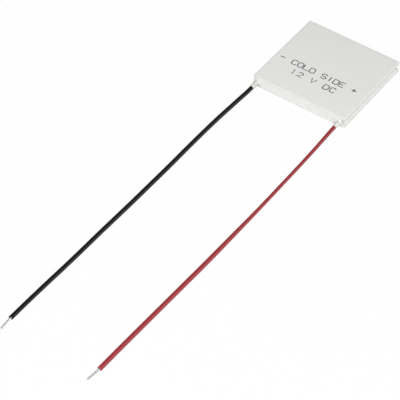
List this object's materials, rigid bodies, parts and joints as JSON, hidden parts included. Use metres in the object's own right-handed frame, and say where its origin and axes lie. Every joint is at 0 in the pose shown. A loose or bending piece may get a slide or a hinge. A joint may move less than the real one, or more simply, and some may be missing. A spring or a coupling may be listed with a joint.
{
  "type": "thermoelectric cooling module",
  "caption": "Square ceramic-faced cooling module with silicone-sealed edges and two free leads, one black and one red.",
  "frame": {"origin": "middle of the hot plate's outer face, the underside that the module rests on", "axes": "+Z from the hot plate to the cold plate; the leads leave the front edge towards -Y, black at -X and red at +X"},
  "size_m": [0.0407, 0.1915, 0.0044],
  "materials": {
    "alumina": "satin",
    "silicone": "satin",
    "copper": "satin",
    "p_pellet": "satin",
    "n_pellet": "satin",
    "solder": "satin",
    "tinned_wire": "polished",
    "black_pvc": "satin",
    "red_pvc": "satin"
  },
  "bodies": {
    "root": {"hot_plate": "alumina", "cold_plate": "alumina", "hot_tabs": "copper", "cold_tabs": "copper", "black_end_tab": "copper", "red_end_tab": "copper", "p_pellets_row_1": "p_pellet", "p_pellets_row_2": "p_pellet", "p_pellets_row_3": "p_pellet", "p_pellets_row_4": "p_pellet", "p_pellets_row_5": "p_pellet", "p_pellets_row_6": "p_pellet", "p_pellets_row_7": "p_pellet", "p_pellets_row_8": "p_pellet", "p_pellets_row_9": "p_pellet", "p_pellets_row_10": "p_pellet", "p_pellets_row_11": "p_pellet", "p_pellets_row_12": "p_pellet", "p_pellets_row_13": "p_pellet", "p_pellets_row_14": "p_pellet", "p_pellets_row_15": "p_pellet", "p_pellets_row_16": "p_pellet", "n_pellets_row_1": "n_pellet", "n_pellets_row_2": "n_pellet", "n_pellets_row_3": "n_pellet", "n_pellets_row_4": "n_pellet", "n_pellets_row_5": "n_pellet", "n_pellets_row_6": "n_pellet", "n_pellets_row_7": "n_pellet", "n_pellets_row_8": "n_pellet", "n_pellets_row_9": "n_pellet", "n_pellets_row_10": "n_pellet", "n_pellets_row_11": "n_pellet", "n_pellets_row_12": "n_pellet", "n_pellets_row_13": "n_pellet", "n_pellets_row_14": "n_pellet", "n_pellets_row_15": "n_pellet", "n_pellets_row_16": "n_pellet", "edge_seal": "silicone", "black_boot": "silicone", "red_boot": "silicone", "black_solder": "solder", "red_solder": "solder", "black_tail": "tinned_wire", "red_tail": "tinned_wire", "black_lead": "black_pvc", "red_lead": "red_pvc", "black_tinned_end": "tinned_wire", "red_tinned_end": "tinned_wire"}
  },
  "joints": []
}
